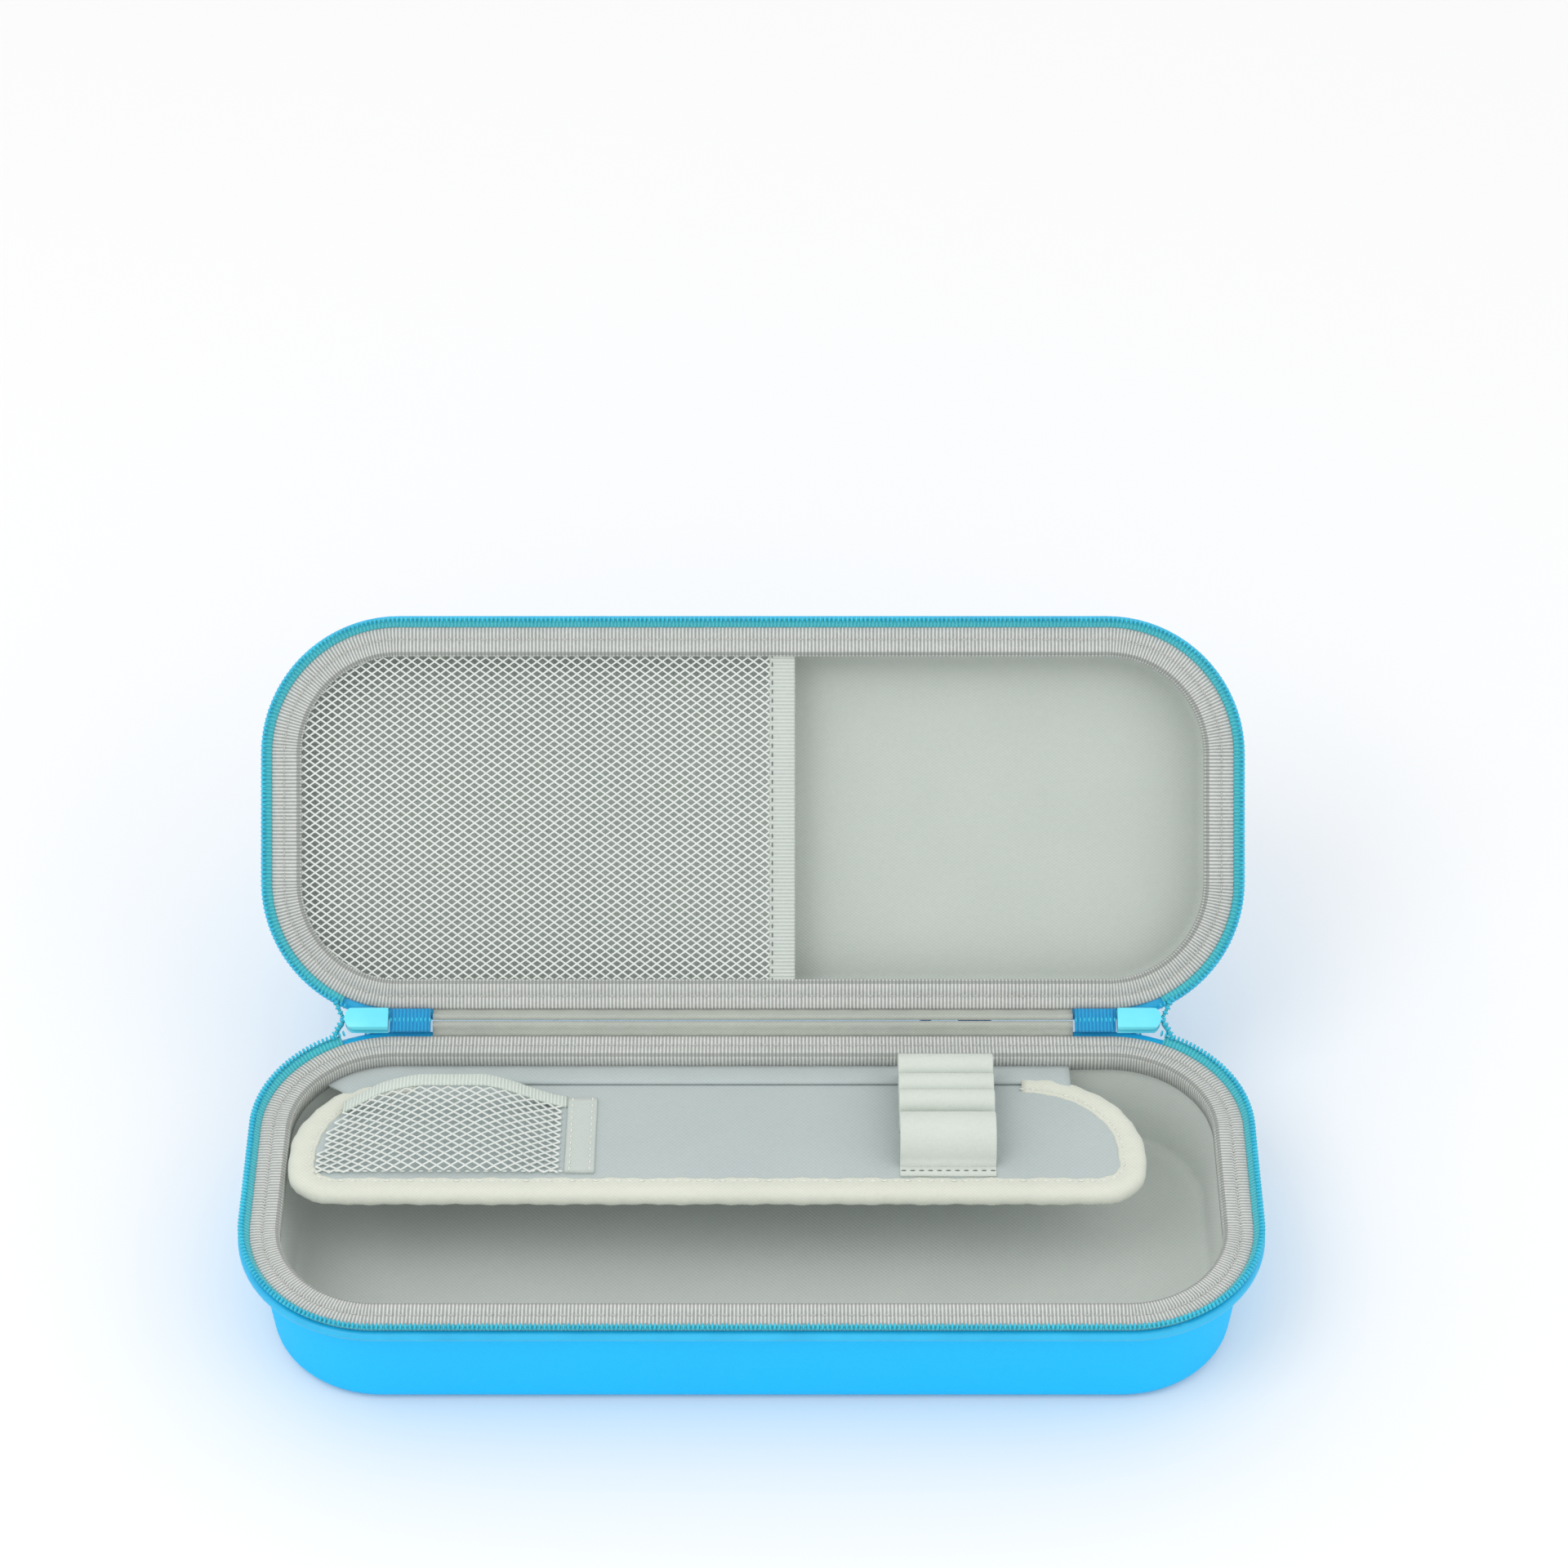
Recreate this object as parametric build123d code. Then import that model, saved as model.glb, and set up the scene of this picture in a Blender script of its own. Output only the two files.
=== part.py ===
from build123d import *
from math import atan, cos, degrees, radians
import os

# Hard case in two moulded shells, joined along the back by a folding cloth strip and closed by a
# zipper that runs round the other sides. It is drawn open. All sizes are millimetres: X runs along
# the case, Y towards the hinge and Z up, and the origin is the middle of the base's underside.

# Outline of the shut case, over its rim piping
case_length = 285.0
case_width = 117.0
corner_radius = 40.0

# Heights: the base up to its rim, the gap between the rims when shut, the lid above its rim
base_depth = 36.5
rim_gap = 8.0
lid_depth = 18.6

# Moulded shells
base_wall = 4.0
lid_wall = 3.0
lining_thickness = 1.0
straight_band = 5.0  # upright part of the walls under the rim
base_draft = 3.3  # how far the walls lean in below that band
lid_draft = 1.5
base_edge_radius = 5.0
lid_edge_radius = 5.0
lining_edge_radius = 3.0

# Rim: piping outside the wall, binding tape over the top, zipper tape and coil between them
rim_reach = 5.0
piping_height = 3.0
piping_round = 1.4
binding_reach_out = 1.8
binding_reach_in = 6.5
binding_thickness = 0.8
binding_drop = 4.6
binding_round = 1.2
tape_thickness = 0.8
tape_foot = 2.2  # from the wall to the tape's foot
tape_lean = 1.3
tape_height = 1.8
coil_radius = 0.95

# Hinge strip: one half on each rim, with its crease on the line that the lid turns about
crease_inset = 0.1  # from the outside of the piping
strip_from_end = 49.5  # from the end of the case to the end of the strip
strip_outer_thickness = 1.2
strip_lining_thickness = 0.8
crease_clearance = 0.15
strip_end_clearance = 0.3
opening_angle = 132.0

# Joined zipper stretches and sliders at the strip's ends
joined_length = 11.8
joined_thickness = 1.2
joined_coil_radius = 1.0
joined_clearance = 0.3  # from each rim
slider_length = 12.6
slider_width = 7.4
slider_channel = 2.6
slider_plate = 1.0
slider_bridge_length = 1.6
slider_bridge_width = 2.6
slider_bridge_inset = 0.9  # from the mouth
slider_start_gap = 0.4
bail_length = 6.4
bail_width = 1.2
bail_rise = 3.6
bail_bar = 0.9
tape_end_gap = 6.0  # from the slider's middle to where the free zipper tapes begin

# Pulls: a wire link with a moulded grip on it
wire_radius = 0.5
link_length = 8.0
link_width = 3.6
link_corner = 0.6  # of half the link's width
link_clearance = 0.15
grip_length = 22.0
grip_width = 6.0
grip_thickness = 3.0
grip_corner = 2.6
grip_edge = 0.9
grip_overlap = 2.2
grip_rib_count = 6
grip_rib_pitch = 2.0
grip_rib_depth = 0.35

# Wrist strap and the tab that holds it, sewn to the back of the base
strap_length = 46.0
strap_spread = 15.0
strap_thickness = 1.2
strap_width = 7.8
strap_root_length = 8.0
strap_root_slope = 0.1
strap_angle = 145.0  # from +X
strap_gap = 0.3
strap_x = 88.0
strap_z = 20.0
strap_tab_length = 8.0
strap_tab_reach = 0.4  # outside the wall's upright band

# Divider flap
flap_left_clearance = 0.5  # from the binding at the left end
flap_right_clearance = 20.0
flap_depth = 53.0
flap_front_corner = 14.0
flap_back_corner = 34.0
flap_cover_thickness = 1.4
stiffener_thickness = 1.0
stiffener_inset = 6.0
flap_binding_width = 8.0
flap_binding_height = 5.2
flap_binding_round = 2.3
flap_binding_wrap = 3.0
flap_hinge_reach = 3.4
flap_hinge_drop = 4.0
flap_back_gap = 1.6
flap_lift = 6.0
hinge_tape_length = 190.0
hinge_tape_height = 7.0
hinge_tape_thickness = 0.8
hinge_tape_gap = 0.3  # under the base's binding

# Net pocket on the flap
pocket_left = 8.3  # from the flap's left end
pocket_gap = 0.3  # from the edge binding
pocket_length = 69.7
pocket_front = 9.5  # from the flap's front edge
pocket_depth = 33.0
pocket_rise = 9.0
pocket_front_rise = 1.6
net_thickness = 0.8
elastic_depth = 4.5
elastic_thickness = 1.2
seam_tape_width = 8.4

# Pen loops on the flap, listed from the front one back
loops_centre = 56.0  # from the flap's right end
loops_width = 27.0
loops_front = 12.1  # from the flap's front edge
loop_pitches = (15.7, 7.7, 7.8, 8.3)
loop_heights = (11.0, 10.5, 10.0, 10.5)
loop_band = 0.7
loop_tab = 3.8  # flat end sewn down in front of them

# Net and band over the left part of the lid
lid_band_x = 8.5
lid_band_width = 7.2
lid_band_thickness = 1.2
lid_net_depth = 1.2  # below the lid's rim
lid_net_border = 3.0
cell_length = 9.6
cell_height = 8.6
cell_strand = 1.3

# Worked out from the sizes above
wall_half_length = case_length / 2 - rim_reach
wall_half_width = case_width / 2 - rim_reach
wall_radius = corner_radius - rim_reach
base_inside = base_wall + lining_thickness
lid_inside = lid_wall + lining_thickness
crease_y = case_width / 2 - crease_inset
crease_z = base_depth + rim_gap / 2
lid_rim_z = base_depth + rim_gap
strip_half_length = case_length / 2 - strip_from_end
joined_height = rim_gap - 2 * joined_clearance
slider_middle = strip_half_length + joined_length + slider_start_gap + slider_length / 2
flap_total = 2 * flap_cover_thickness + stiffener_thickness
flap_left = -(wall_half_length - binding_reach_in) + flap_left_clearance
flap_right = wall_half_length - binding_reach_in - flap_right_clearance
flap_length = flap_right - flap_left
flap_middle_x = (flap_left + flap_right) / 2
flap_front = -flap_back_gap - flap_depth
flap_hinge_y = wall_half_width - binding_reach_in - flap_hinge_reach
flap_hinge_z = base_depth - flap_hinge_drop


def about_crease(angle):
    return Pos(0, crease_y, crease_z) * Rot(angle, 0, 0) * Pos(0, -crease_y, -crease_z)


# Where each folding part stands when the case is open. The lid's own frame has its mouth up and
# its hinge side at -Y, as it would lie beside the base.
strip_place = about_crease(-opening_angle / 2)
lid_shut = Pos(0, 0, lid_rim_z) * Rot(180, 0, 0)
lid_place = about_crease(-opening_angle) * lid_shut
base_place = Pos(0, 0, base_depth)
flap_place = Pos(0, flap_hinge_y, flap_hinge_z) * Rot(-flap_lift, 0, 0)


def rounded_path(half_length, half_width, front_radius, back_radius):
    # closed path that starts and ends in the middle of the front side
    edges = []
    last = (0, -half_width)
    sides = ((1, -1, front_radius), (1, 1, back_radius), (-1, 1, back_radius), (-1, -1, front_radius))
    for across, along, radius in sides:
        x, y = half_length - radius, half_width - radius
        bend = radius * cos(radians(45))
        on_long_side = (across * x, along * half_width)
        on_end = (across * half_length, along * y)
        middle = (across * (x + bend), along * (y + bend))
        start, end = (on_end, on_long_side) if across == along else (on_long_side, on_end)
        edges.append(Line(last, start).edge())
        edges.append(ThreePointArc(start, middle, end).edge())
        last = end
    edges.append(Line(last, (0, -half_width)).edge())
    return Wire(edges)


def swept_ring(section, half_length, half_width, front_radius, back_radius):
    # the section is drawn with X outwards from the path and Y up
    plane = Plane(origin=(0, -half_width, 0), x_dir=(0, -1, 0), z_dir=(-1, 0, 0))
    path = rounded_path(half_length, half_width, front_radius, back_radius)
    return sweep(plane * section, path=path)


def rim_ring(section):
    return swept_ring(section, wall_half_length, wall_half_width, wall_radius, wall_radius)


def wall_outline(inset):
    return RectangleRounded(
        2 * (wall_half_length - inset), 2 * (wall_half_width - inset), wall_radius - inset
    )


def cup(inset, depth, draft_angle, edge_radius):
    # solid form with its rim at z = 0, upright at first and then leaning in
    band = extrude(wall_outline(inset), -straight_band)
    top = Pos(0, 0, -straight_band) * wall_outline(inset)
    lower = extrude(top, amount=depth - straight_band, dir=(0, 0, -1), taper=draft_angle)
    form = band + lower
    return fillet(form.edges().group_by(Axis.Z)[0], edge_radius)


def draft_angle(draft, depth):
    return degrees(atan(draft / (depth - straight_band)))


def shell_and_lining(depth, wall, draft, edge_radius):
    angle = draft_angle(draft, depth)
    outer = cup(0, depth, angle, edge_radius)
    middle = cup(wall, depth - wall, angle, lining_edge_radius + lining_thickness)
    inside = wall + lining_thickness
    inner = cup(inside, depth - inside, angle, lining_edge_radius)
    return outer - middle, middle - inner


def piping():
    middle = Pos(rim_reach / 2, -piping_height / 2)
    return rim_ring(middle * RectangleRounded(rim_reach, piping_height, piping_round))


def binding(inside):
    # over the rim's top, round its inner corner and down the lining
    top, out, inner = binding_thickness, binding_reach_out, -binding_reach_in
    x, y = inner + binding_round, top - binding_round
    bend = binding_round * cos(radians(45))
    outline = [
        Line((out, 0), (out, top)),
        Line((out, top), (x, top)),
        ThreePointArc((x, top), (x - bend, y + bend), (inner, y)),
        Line((inner, y), (inner, -binding_drop)),
        Line((inner, -binding_drop), (-inside, -binding_drop)),
        Line((-inside, -binding_drop), (-inside, 0)),
        Line((-inside, 0), (out, 0)),
    ]
    return rim_ring(make_face(outline))


def hinge_side_box(length, height):
    # takes in the whole hinge side over a length of it
    return Pos(0, case_width / 2, 0) * Box(length, case_width / 2, height)


def free_end_cut():
    # clears the hinge side between the two ends of the free zipper
    return hinge_side_box(2 * (slider_middle + tape_end_gap), rim_gap)


def zipper_tape():
    foot, head = tape_foot, tape_foot + tape_lean
    section = Polygon(
        (foot, 0),
        (foot + tape_thickness, 0),
        (head + tape_thickness, tape_height),
        (head, tape_height),
        align=None,
    )
    return rim_ring(section) - free_end_cut()


def zipper_coil():
    middle = tape_foot + tape_lean + tape_thickness / 2
    section = Pos(middle, tape_height + coil_radius) * Circle(coil_radius)
    return rim_ring(section) - free_end_cut()


def strip_layer(near, far):
    # one layer of half the hinge strip, standing on a rim at its hinge side
    height = rim_gap / 2 - crease_clearance
    length = 2 * (strip_half_length - strip_end_clearance)
    middle = Pos(0, crease_y - (near + far) / 2, height / 2)
    return middle * Box(length, far - near, height)


def strip_outer():
    return strip_layer(0, strip_outer_thickness)


def strip_lining():
    return strip_layer(strip_outer_thickness, strip_outer_thickness + strip_lining_thickness)


# Base, drawn with its rim at z = 0
def strap_tab():
    # flat end of the wrist strap, sewn to the outside of the back wall
    low, high = wall_half_width - base_wall, wall_half_width + strap_tab_reach
    middle = Pos(strap_x, (low + high) / 2, strap_z - base_depth)
    return middle * Box(strap_tab_length, high - low, strap_width)


def flap_hinge_tape():
    # cloth of the flap's fold, sewn to the lining of the back wall
    angle = draft_angle(base_draft, base_depth)
    inner = base_inside + hinge_tape_thickness
    skin = cup(base_inside, base_depth - base_inside, angle, lining_edge_radius)
    skin -= cup(inner, base_depth - inner, angle, lining_edge_radius)
    middle = Pos(flap_middle_x, 0, -binding_drop - hinge_tape_gap - hinge_tape_height / 2)
    return skin & middle * hinge_side_box(hinge_tape_length, hinge_tape_height)


base_shell, base_lining = shell_and_lining(base_depth, base_wall, base_draft, base_edge_radius)
base_parts = {
    "base_shell": base_shell,
    "base_lining": base_lining,
    "base_rim_piping": piping(),
    "base_binding_tape": binding(base_inside),
    "base_zipper_tape": zipper_tape(),
    "base_zipper_coil": zipper_coil(),
    "base_strip_outer": strip_outer(),
    "base_strip_lining": strip_lining(),
    "flap_hinge_tape": flap_hinge_tape(),
    "strap_tab": strap_tab() - base_shell,
}


# Lid
def turned_round(shape):
    return Rot(0, 0, 180) * shape


def lid_net():
    # diamond cells in rows, each row half a cell from the last, inside a plain border
    left = -(wall_half_length - lid_inside)
    right = lid_band_x - lid_band_width / 2
    top = wall_half_width - lid_inside
    radius = wall_radius - lid_inside
    outline = wall_outline(lid_inside) & Pos((left + right) / 2, 0) * Rectangle(right - left, 2 * top)
    half_x, half_y = (cell_length - cell_strand) / 2, (cell_height - cell_strand) / 2
    holes = []
    rows = int(2 * (top - lid_net_border) / (cell_height / 2))
    for row in range(rows):
        y = -top + lid_net_border + half_y + row * cell_height / 2
        shift = cell_length / 2 * (row % 2)
        x = left + lid_net_border + half_x + shift
        while x + half_x < right - lid_net_border / 2:
            corner_x = left + radius - x
            corner_y = abs(y) - (top - radius)
            reach = (max(corner_x + half_x, 0) ** 2 + max(corner_y + half_y / 2, 0) ** 2) ** 0.5
            if reach < radius - lid_net_border and y + half_y < top - lid_net_border / 2:
                points = [(x - half_x, y), (x, y + half_y), (x + half_x, y), (x, y - half_y)]
                holes.append(Wire.make_polygon([(px, py, 0) for px, py in points], close=True))
            x += cell_length
    print("lid net cells:", len(holes))
    face = Face(outline.faces()[0].outer_wire(), holes)
    return Pos(0, 0, -lid_net_depth - net_thickness) * extrude(face, net_thickness)


def lid_band():
    height = 2 * (wall_half_width - lid_inside)
    low = -lid_net_depth - lid_band_thickness
    middle = Pos(lid_band_x, 0, low + lid_band_thickness / 2)
    return middle * Box(lid_band_width, height, lid_band_thickness)


lid_shell, lid_lining = shell_and_lining(lid_depth, lid_wall, lid_draft, lid_edge_radius)
lid_parts = {
    "lid_shell": lid_shell,
    "lid_lining": lid_lining,
    "lid_rim_piping": piping(),
    "lid_binding_tape": binding(lid_inside) - lid_net() - lid_band(),
    "lid_zipper_tape": turned_round(zipper_tape()),
    "lid_zipper_coil": turned_round(zipper_coil()),
    "lid_strip_outer": turned_round(strip_outer()),
    "lid_strip_lining": turned_round(strip_lining()),
    "lid_mesh_pocket": lid_net(),
    "lid_pocket_band": lid_band(),
}


# Joined zipper stretches, drawn upright as in the shut case
def joined_zipper(side):
    x = side * (strip_half_length + joined_length / 2)
    middle = Pos(x, crease_y, crease_z)
    tape = middle * Box(joined_length, joined_thickness, joined_height)
    coil = middle * Rot(0, 90, 0) * Cylinder(joined_coil_radius, joined_length)
    return tape + coil


# Sliders, drawn with X towards the mouth, Y outwards from the case and Z up
def slider():
    end = slider_width / 2
    body = slider_length - end
    outline = Pos(-end / 2, 0) * Rectangle(body, slider_width)
    outline += Pos(slider_length / 2 - end, 0) * Circle(end)
    plane = Plane(origin=(0, 0, 0), x_dir=(1, 0, 0), z_dir=(0, 1, 0))
    face = plane * outline
    depth = slider_channel / 2 + slider_plate
    block = extrude(face, depth, both=True)
    channel = Box(slider_length, slider_channel, slider_width)
    bridge_x = (slider_length - slider_bridge_length) / 2 - slider_bridge_inset
    bridge = Pos(bridge_x, 0, 0) * Box(slider_bridge_length, slider_channel, slider_bridge_width)
    # the plates stay clear of both rims while the strip folds about the middle between them
    clear = Rot(0, 90, 0) * Cylinder(rim_gap / 2 - joined_clearance, slider_length)
    plates = (block - channel + bridge) & clear
    arch = Pos(0, depth + bail_rise / 2, 0) * Box(bail_length, bail_rise, bail_width)
    hole = Pos(0, depth + (bail_rise - bail_bar) / 2, 0) * Box(
        bail_length - 2 * bail_bar, bail_rise - bail_bar, bail_width
    )
    return plates + (arch - hole)


pivot_rise = slider_channel / 2 + slider_plate + bail_rise - bail_bar - wire_radius - link_clearance


# Pulls, drawn hanging along +Y from the pivot, with the wire across the bail along Z
def pull_plane(y):
    return Plane(origin=(0, y, 0), x_dir=(0, 1, 0), z_dir=(1, 0, 0))


def wire_link():
    half_length = link_length / 2
    half_width = link_width / 2 - wire_radius
    corner = half_width * link_corner
    ring = swept_ring(Circle(wire_radius), half_length, half_width, corner, corner)
    return pull_plane(half_length) * ring


def grip():
    outline = RectangleRounded(grip_length, grip_width, grip_corner)
    blank = extrude(outline, grip_thickness / 2, both=True)
    rims = blank.edges().group_by(Axis.Z)
    blank = fillet(rims[0] + rims[-1], grip_edge)
    first = -(grip_rib_count - 1) / 2
    for face in (-1, 1):
        for index in range(grip_rib_count):
            middle = Pos((first + index) * grip_rib_pitch, 0, face * grip_thickness / 2)
            groove = Box(grip_rib_pitch / 2, grip_width - 2 * grip_edge, 2 * grip_rib_depth)
            blank -= middle * groove
    middle = link_length - grip_overlap + grip_length / 2
    return pull_plane(middle) * blank


pull_parts = {"link": wire_link(), "grip": grip() - wire_link()}


# Wrist strap: a drop-shaped loop of webbing, drawn along +X from its sewn root
def strap():
    half = strap_spread / 2
    far = strap_length - half
    leaving, coming = (1, strap_root_slope), (-1, strap_root_slope)
    outer = [
        (strap_root_length, strap_thickness),
        (far, half),
        (strap_length, 0),
        (far, -half),
        (strap_root_length, -strap_thickness),
    ]
    inner_half = half - strap_thickness
    line = [
        Spline(outer[0], outer[1], tangents=[leaving, (1, 0)]),
        ThreePointArc(outer[1], outer[2], outer[3]),
        Spline(outer[3], outer[4], tangents=[(-1, 0), coming]),
        Line(outer[4], (0, -strap_thickness)),
        Line((0, -strap_thickness), (0, strap_thickness)),
        Line((0, strap_thickness), outer[0]),
    ]
    blank = make_face(line)
    hole_start = (strap_root_length + strap_thickness, 0)
    hole = [
        Spline(hole_start, (far, inner_half), tangents=[leaving, (1, 0)]),
        ThreePointArc((far, inner_half), (strap_length - strap_thickness, 0), (far, -inner_half)),
        Spline((far, -inner_half), hole_start, tangents=[(-1, 0), coming]),
    ]
    return extrude(blank - make_face(hole), strap_width / 2, both=True)


# Divider flap, drawn flat from its fold line towards -Y
def flap_path(inset):
    # half sizes and corner radii of the flap's outline, drawn in by an inset
    return (
        flap_length / 2 - inset,
        flap_depth / 2 - inset,
        flap_front_corner - inset,
        flap_back_corner - inset,
    )


flap_middle = Pos(flap_middle_x, (flap_front - flap_back_gap) / 2)


def flap_back_strip(depth, height):
    # between the two back corners, along the fold
    middle = Pos(flap_middle_x, -flap_back_gap - depth / 2)
    return middle * Box(flap_length - 2 * flap_back_corner, depth, height)


def flap_layer(inset, low, high):
    # drawn in from the flap's edge all round, except along the fold
    sheet = flap_middle * extrude(Face(rounded_path(*flap_path(inset))), high - low)
    back = Pos(0, 0, (high - low) / 2) * flap_back_strip(inset, high - low)
    return Pos(0, 0, low) * (sheet + back)


def flap_binding():
    # runs round the ends and the front, and stops at the fold
    section = RectangleRounded(flap_binding_width, flap_binding_height, flap_binding_round)
    ring = flap_middle * swept_ring(section, *flap_path(flap_binding_width / 2))
    ring -= flap_back_strip(flap_binding_width, flap_binding_height)
    return ring - flap_layer(flap_binding_wrap, -flap_total / 2, flap_total / 2)


def bow(half_length, rise, thickness):
    # thin arch over a straight base line, with its feet flat
    outer = ThreePointArc((-half_length, 0), (0, rise), (half_length, 0))
    inner = ThreePointArc(
        (half_length - 2 * thickness, 0), (0, rise - thickness), (-half_length + 2 * thickness, 0)
    )
    return make_face(
        [
            outer,
            Line((half_length, 0), (half_length - 2 * thickness, 0)),
            inner,
            Line((-half_length + 2 * thickness, 0), (-half_length, 0)),
        ]
    )


pocket_middle_x = flap_left + pocket_left + pocket_length / 2
pocket_front_y = flap_front + pocket_front
pocket_back_y = pocket_front_y + pocket_depth
cover_top = flap_total / 2


def pocket_bow(y, rise, thickness):
    plane = Plane(origin=(pocket_middle_x, y, cover_top), x_dir=(-1, 0, 0), z_dir=(0, 1, 0))
    return plane * bow(pocket_length / 2, rise, thickness)


def inside_binding():
    inset = flap_binding_width + pocket_gap
    return flap_middle * extrude(Face(rounded_path(*flap_path(inset))), flap_depth)


def flap_net():
    front = pocket_bow(pocket_front_y, pocket_front_rise, net_thickness)
    back = pocket_bow(pocket_back_y - elastic_depth, pocket_rise, net_thickness)
    return loft([front, back], ruled=True) & inside_binding()


def flap_elastic():
    face = pocket_bow(pocket_back_y - elastic_depth, pocket_rise, elastic_thickness)
    return extrude(face, elastic_depth, dir=(0, 1, 0)) & inside_binding()


def seam_tape():
    x = pocket_middle_x + (pocket_length + seam_tape_width) / 2
    y = pocket_front_y + pocket_depth / 2
    height = elastic_thickness
    return Pos(x, y, cover_top + height / 2) * Box(seam_tape_width, pocket_depth, height)


def arch(middle, radius, height):
    # round-topped arch that stands on the line y = 0
    leg = height - radius
    return Pos(middle, leg) * Circle(radius) + Pos(middle, leg / 2) * Rectangle(2 * radius, leg)


def pen_loops():
    # arches side by side along the flap's depth, sewn down between and at the ends
    x = flap_right - loops_centre
    front = flap_front + loops_front
    plane = Plane(origin=(x - loops_width / 2, 0, cover_top), x_dir=(0, 1, 0), z_dir=(1, 0, 0))
    band = Pos(front - loop_tab / 2, loop_band / 2) * Rectangle(loop_tab, loop_band)
    hollows = [Pos(front, -loop_tab) * Rectangle(2 * sum(loop_pitches), 2 * loop_tab)]
    start = front
    for pitch, height in zip(loop_pitches, loop_heights):
        middle = start + pitch / 2
        band += arch(middle, pitch / 2, height + loop_band)
        hollows.append(arch(middle, pitch / 2 - loop_band, height))
        start += pitch
    for hollow in hollows:
        band -= hollow
    return extrude(plane * band, loops_width)


middle_of_flap = stiffener_thickness / 2
flap_parts = {
    "flap_cover_top": flap_layer(flap_binding_wrap, middle_of_flap, flap_total / 2),
    "flap_stiffener": flap_layer(stiffener_inset, -middle_of_flap, middle_of_flap),
    "flap_cover_bottom": flap_layer(flap_binding_wrap, -flap_total / 2, -middle_of_flap),
    "flap_edge_binding": flap_binding(),
    "flap_mesh_pocket": flap_net(),
    "flap_pocket_elastic": flap_elastic(),
    "flap_seam_tape": seam_tape(),
    "pen_loops": pen_loops(),
}


# Everything in its place
nodes = {}
for name, shape in base_parts.items():
    nodes[name] = base_place * shape
for name, shape in lid_parts.items():
    nodes[name] = lid_place * shape
for name, shape in flap_parts.items():
    nodes[name] = flap_place * shape

for side_name, side, turn in (("left", -1, 180), ("right", 1, 0)):
    nodes["joined_zipper_" + side_name] = strip_place * joined_zipper(side)
    middle = Pos(side * slider_middle, crease_y, crease_z)
    nodes["slider_" + side_name] = strip_place * middle * Rot(0, turn, 0) * slider()
    for part_name, shape in pull_parts.items():
        nodes[part_name + "_" + side_name] = strip_place * middle * Pos(0, pivot_rise, 0) * shape

strap_root = Pos(strap_x, wall_half_width + strap_tab_reach + strap_gap + strap_thickness, strap_z)
nodes["wrist_strap"] = strap_root * Rot(0, 0, strap_angle) * strap()

os.makedirs("parts", exist_ok=True)
for name, shape in nodes.items():
    export_step(shape, "parts/" + name + ".step")
print(len(nodes), "nodes")
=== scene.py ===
import math

import bmesh
import bpy
from mathutils import Matrix, Vector


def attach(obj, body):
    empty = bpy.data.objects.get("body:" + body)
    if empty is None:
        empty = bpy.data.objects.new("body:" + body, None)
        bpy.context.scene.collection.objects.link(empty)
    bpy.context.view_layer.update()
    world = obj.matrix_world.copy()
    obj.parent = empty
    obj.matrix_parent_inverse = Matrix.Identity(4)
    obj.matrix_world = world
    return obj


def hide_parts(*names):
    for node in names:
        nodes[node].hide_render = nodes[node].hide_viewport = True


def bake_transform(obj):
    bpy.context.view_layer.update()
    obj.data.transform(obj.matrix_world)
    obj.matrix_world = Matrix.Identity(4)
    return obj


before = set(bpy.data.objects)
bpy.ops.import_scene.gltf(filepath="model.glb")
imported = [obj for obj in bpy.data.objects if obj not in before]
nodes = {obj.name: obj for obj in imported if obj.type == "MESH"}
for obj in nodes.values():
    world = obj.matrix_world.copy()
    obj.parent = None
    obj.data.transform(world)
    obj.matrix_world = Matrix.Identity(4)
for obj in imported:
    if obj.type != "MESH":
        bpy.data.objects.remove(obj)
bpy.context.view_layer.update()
mm = 0.001

# the case's main sizes in millimetres, as the solids have them
case = {
    "wallHalfLength": 137.5,
    "wallHalfWidth": 53.5,
    "wallRadius": 35.0,
    "baseRim": 36.5,
    "lidRim": 44.5,
    "creaseY": 58.4,
    "creaseZ": 40.5,
    "opening": 132.0,
    "tapeEndX": 117.5,
    "stripHalf": 93.0,
}


# where each part's own frame stands
def turnX(degrees, y, z):
    there = Matrix.Translation((0, y, z))
    return there @ Matrix.Rotation(math.radians(degrees), 4, "X") @ there.inverted()


baseFrame = Matrix.Translation((0, 0, case["baseRim"]))
lidFrame = (
    turnX(-case["opening"], case["creaseY"], case["creaseZ"])
    @ Matrix.Translation((0, 0, case["lidRim"]))
    @ Matrix.Rotation(math.pi, 4, "X")
)
stripFrame = turnX(-case["opening"] / 2, case["creaseY"], case["creaseZ"]) @ Matrix.Translation(
    (0, case["creaseY"], case["creaseZ"])
)
flapFrame = Matrix.Translation((0, 43.6, 32.5)) @ Matrix.Rotation(math.radians(-6.0), 4, "X")


# shader helpers
class Sock:
    # wraps a node socket, so that maths on it reads as an expression
    def __init__(self, tree, socket):
        self.tree = tree
        self.socket = socket

    def math(self, operation, *others):
        node = self.tree.nodes.new("ShaderNodeMath")
        node.operation = operation
        for index, value in enumerate((self, *others)):
            plug(self.tree, node.inputs[index], value)
        return Sock(self.tree, node.outputs[0])

    def __add__(self, other):
        return self.math("ADD", other)

    __radd__ = __add__

    def __mul__(self, other):
        return self.math("MULTIPLY", other)

    __rmul__ = __mul__

    def __sub__(self, other):
        return self.math("SUBTRACT", other)

    def __rsub__(self, other):
        return (self * -1.0) + other

    def clamp(self):
        return self.math("MINIMUM", 1.0).math("MAXIMUM", 0.0)


def plug(tree, target, value):
    if isinstance(value, Sock):
        tree.links.new(value.socket, target)
    else:
        target.default_value = value


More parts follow.
